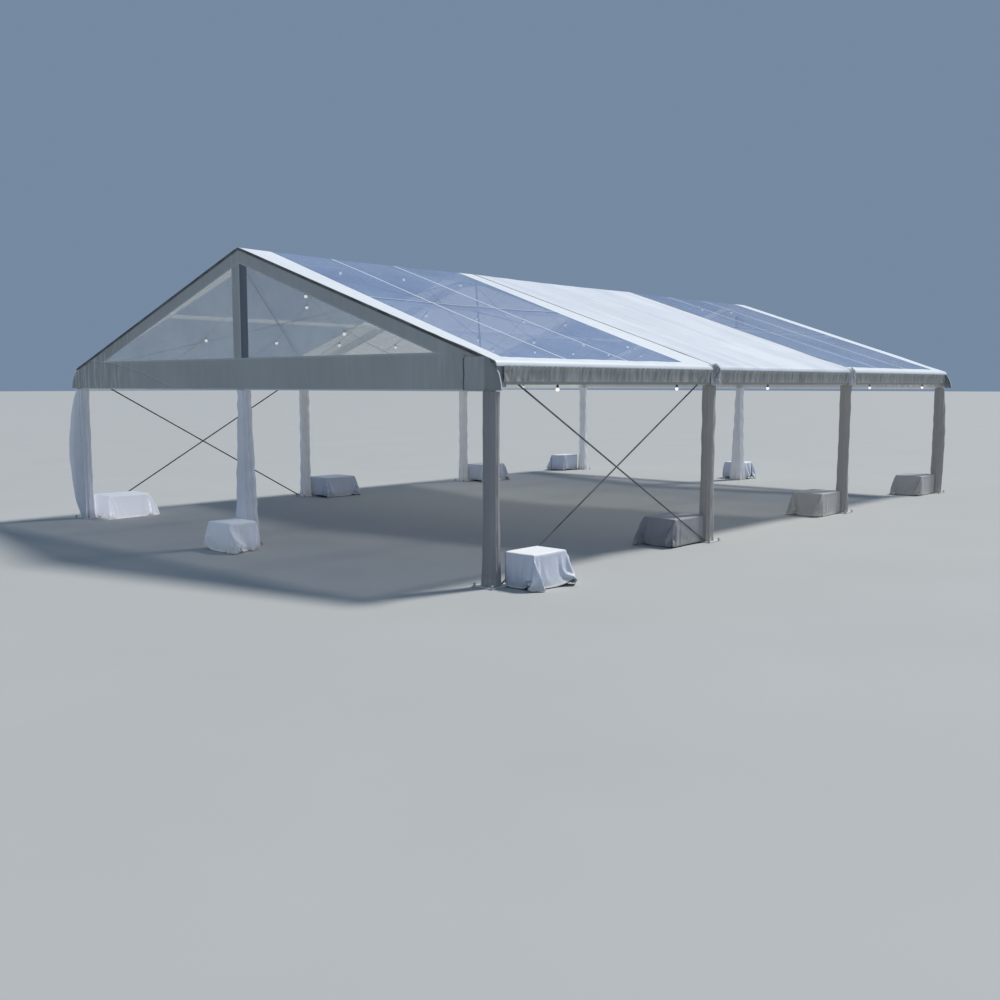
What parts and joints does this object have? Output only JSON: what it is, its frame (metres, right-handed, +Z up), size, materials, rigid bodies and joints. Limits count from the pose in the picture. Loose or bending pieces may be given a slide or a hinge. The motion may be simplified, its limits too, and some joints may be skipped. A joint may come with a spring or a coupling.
{
  "type": "marquee tent",
  "caption": "Open-sided clear-span marquee tent with a gabled roof of clear and white sheets on an aluminium frame, cloth-covered legs and weights, and festoon lights.",
  "frame": {"origin": "on the ground in the middle of the tent", "axes": "+X across the gable to the right seen from the front, +Y along the ridge to the rear, +Z up"},
  "size_m": [11.24, 16.388, 4.4521],
  "materials": {
    "frame_aluminium": "mill-finished extrusion, satin",
    "brace_strap": "dark galvanised strap, dull",
    "white_sheet": "white coated sheet, semi-matt",
    "clear_film": "clear flexible film with white welded borders, glossy",
    "cover_cloth": "white draped cloth, matt",
    "weight_cloth": "white satin cloth over the weight, soft sheen",
    "cable_rubber": "black rubber cable, dull"
  },
  "bodies": {
    "root": {"leg_left_1": "frame_aluminium", "leg_left_2": "frame_aluminium", "leg_left_3": "frame_aluminium", "leg_left_4": "frame_aluminium", "leg_right_1": "frame_aluminium", "leg_right_2": "frame_aluminium", "leg_right_3": "frame_aluminium", "leg_right_4": "frame_aluminium", "gable_post_front": "frame_aluminium", "gable_post_rear": "frame_aluminium", "rafter_pair_1": "frame_aluminium", "rafter_pair_2": "frame_aluminium", "rafter_pair_3": "frame_aluminium", "rafter_pair_4": "frame_aluminium", "eave_beam_left": "frame_aluminium", "eave_beam_right": "frame_aluminium", "mid_purlin_left": "frame_aluminium", "mid_purlin_right": "frame_aluminium", "ridge_purlin": "frame_aluminium", "wall_brace_left": "brace_strap", "wall_brace_right": "brace_strap", "roof_brace_left": "brace_strap", "roof_brace_right": "brace_strap", "roof_clear_front": "clear_film", "roof_white_middle": "white_sheet", "roof_clear_rear": "clear_film", "gable_sheet_front": "white_sheet", "gable_sheet_rear": "white_sheet", "valance_left": "white_sheet", "valance_right": "white_sheet", "leg_cover_left_1": "cover_cloth", "leg_cover_left_2": "cover_cloth", "leg_cover_left_3": "cover_cloth", "leg_cover_left_4": "cover_cloth", "leg_cover_right_1": "cover_cloth", "leg_cover_right_2": "cover_cloth", "leg_cover_right_3": "cover_cloth", "leg_cover_right_4": "cover_cloth", "post_cover_front": "cover_cloth", "post_cover_rear": "cover_cloth", "weight_left_1": "weight_cloth", "weight_left_2": "weight_cloth", "weight_left_3": "weight_cloth", "weight_left_4": "weight_cloth", "weight_right_1": "weight_cloth", "weight_right_2": "weight_cloth", "weight_right_3": "weight_cloth", "weight_right_4": "weight_cloth", "post_weight_front": "weight_cloth", "post_weight_rear": "weight_cloth", "festoon_front": "cable_rubber", "festoon_middle": "cable_rubber", "festoon_rear": "cable_rubber"}
  },
  "joints": []
}
